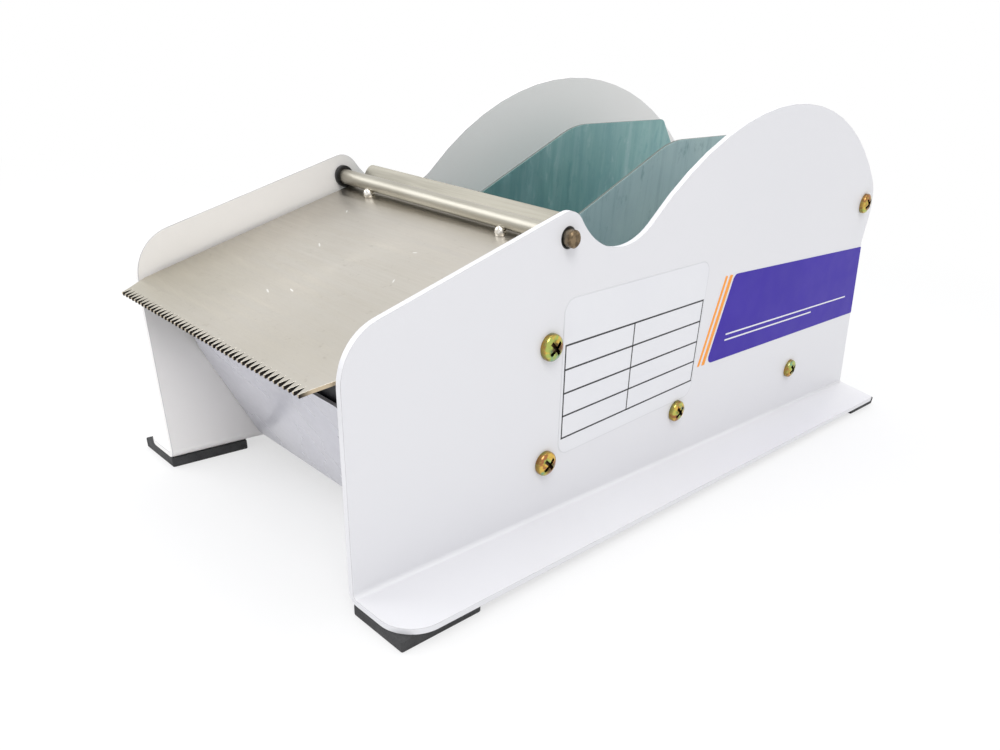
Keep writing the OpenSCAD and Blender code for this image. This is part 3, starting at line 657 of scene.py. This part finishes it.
# ---- brush bristles ----------------------------------------------------------------
def strand(build, foot, tip, sides=4, rings=4):
    """One bristle: a tapered, slightly bent tube from foot to tip."""
    base = len(build.verts)
    width = rng.uniform(0.15, 0.2) * MM
    sway = Vector((rng.uniform(-0.25, 0.25), rng.uniform(-0.25, 0.25), 0)) * MM
    for k in range(rings):
        t = k / (rings - 1)
        centre = foot.lerp(tip, t) + sway * math.sin(math.pi * t)
        r = width * (1 - 0.35 * t)
        for s in range(sides):
            a = 2 * math.pi * s / sides
            build.verts.append((centre.x + r * math.cos(a), centre.y + r * math.sin(a), centre.z))
    for k in range(rings - 1):
        for s in range(sides):
            p, q = base + k * sides + s, base + k * sides + (s + 1) % sides
            build.faces.append([p, q, q + sides, p + sides])
    build.faces.append([base + s for s in reversed(range(sides))])
    build.faces.append([base + (rings - 1) * sides + s for s in range(sides)])


def make_bristles():
    """Tufts of fine nylon that stand close together and end along the plate's slope."""
    build = Build()
    lo, hi = bristle_lo, bristle_hi
    base_top = lo.z + 1.5 * MM
    outline = rounded_outline([(lo.y, lo.z, 0), (hi.y, lo.z, 0),
                               (hi.y, base_top, 0.3 * MM), (lo.y, base_top, 0.3 * MM)], 3)
    build.slab(outline, lo.x, hi.x)
    columns, rows, per_tuft = 40, 7, 9
    margin = 1.3 * MM
    step_x = (hi.x - lo.x - 2 * margin) / (columns - 1)
    step_y = (hi.y - lo.y - 2 * margin) / (rows - 1)
    for i in range(columns):
        for j in range(rows):
            cx = lo.x + margin + i * step_x
            cy = lo.y + margin + j * step_y
            for k in range(per_tuft):
                around, out = rng.uniform(0, 2 * math.pi), math.sqrt(rng.uniform(0.02, 1))
                foot = Vector((cx + math.cos(around) * out * 0.75 * MM,
                               cy + math.sin(around) * out * 0.6 * MM, base_top - 0.1 * MM))
                lean = Vector((math.cos(around) * out * 0.5 + rng.uniform(-0.35, 0.35),
                               math.sin(around) * out * 0.35 + rng.uniform(-0.3, 0.3), 0)) * MM
                tip_x = min(max(foot.x + lean.x, lo.x + 0.2 * MM), hi.x - 0.2 * MM)
                tip_y = min(max(foot.y + lean.y, lo.y + 0.2 * MM), hi.y - 0.2 * MM)
                tip_z = hi.z - (hi.y - tip_y) * math.tan(SLOPE) - rng.uniform(0.1, 0.9) * MM
                strand(build, foot, Vector((tip_x, tip_y, tip_z)))
    piece = build.piece("brush_tufts", "bristle", smooth=True)
    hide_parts("brush_bristles")


make_bristles()


# ---- floor, world and lamps -----------------------------------------------------------
def new_node(tree, kind, *inputs, **settings):
    """A node whose first sockets are fed with links or values."""
    node = tree.nodes.new(kind)
    for key, value in settings.items():
        setattr(node, key, value)
    for socket, value in zip(node.inputs, inputs):
        if isinstance(value, bpy.types.NodeSocket):
            tree.links.new(value, socket)
        else:
            socket.default_value = value
    return node.outputs[0]


def background_share(tree):
    """1 for the rays that show the background: straight, mirrored or through glass."""
    rays = tree.nodes.new("ShaderNodeLightPath").outputs
    mirrored = new_node(tree, "ShaderNodeMath", rays["Is Glossy Ray"],
                        rays["Is Transmission Ray"], operation="MAXIMUM")
    return new_node(tree, "ShaderNodeMath", rays["Is Camera Ray"], mirrored,
                    operation="MAXIMUM")


WHITE = (1, 1, 1, 1)
AMBIENT_TINT, AMBIENT = (0.97, 0.985, 1.0, 1), 0.66
PAPER = (0.86, 0.86, 0.865, 1)


def make_floor():
    """Pale paper that keeps the shadow and turns plain white away from the object."""
    mesh = bpy.data.meshes.new("floor")
    bm = bmesh.new()
    bmesh.ops.create_circle(bm, cap_ends=True, segments=96, radius=4.0)
    bm.to_mesh(mesh)
    bm.free()
    floor = bpy.data.objects.new("floor", mesh)
    bpy.context.scene.collection.objects.link(floor)
    f = Finish("floor")
    f.tree.nodes.remove(f.shader)
    paper = new_node(f.tree, "ShaderNodeBsdfDiffuse", PAPER)
    glow = new_node(f.tree, "ShaderNodeEmission", WHITE, 1.0)
    away = f.node("ShaderNodeVectorMath", {0: f.coords}, operation="LENGTH").outputs["Value"]
    share = f.math("MULTIPLY", background_share(f.tree), f.range(away, 0.22, 0.75, 0.62, 1.0))
    blend = new_node(f.tree, "ShaderNodeMixShader", share, paper, glow)
    out = next(n for n in f.tree.nodes if n.type == "OUTPUT_MATERIAL")
    f.tree.links.new(blend, out.inputs["Surface"])
    mesh.materials.append(f.mat)


def make_world():
    """Soft light from all round, behind a white background."""
    world = bpy.data.worlds.new("studio")
    bpy.context.scene.world = world
    world.use_nodes = True
    tree = world.node_tree
    tree.nodes.clear()
    soft = new_node(tree, "ShaderNodeBackground", AMBIENT_TINT, AMBIENT)
    white = new_node(tree, "ShaderNodeBackground", WHITE, 1.0)
    blend = new_node(tree, "ShaderNodeMixShader", background_share(tree), soft, white)
    out = tree.nodes.new("ShaderNodeOutputWorld")
    tree.links.new(blend, out.inputs["Surface"])


LAMP_AIM = Vector((0, 0, 0.05))


def lamp(name, at, size, watts, color=(1, 1, 1)):
    """A round soft lamp that points at the middle of the object."""
    data = bpy.data.lights.new(name, "AREA")
    data.shape = "DISK"
    data.size = size
    data.energy = watts
    data.color = color
    obj = bpy.data.objects.new(name, data)
    obj.location = at
    obj.rotation_euler = (LAMP_AIM - Vector(at)).to_track_quat("-Z", "Y").to_euler()
    bpy.context.scene.collection.objects.link(obj)


make_floor()
make_world()
bpy.context.scene.view_settings.view_transform = "Standard"
lamp("key", (0.85, -0.7, 1.5), 0.9, 13, (1, 0.995, 0.985))
lamp("top", (-0.2, 0.1, 1.5), 1.2, 7)
lamp("fill", (-1.0, -0.9, 0.8), 1.0, 5, (0.98, 0.99, 1))
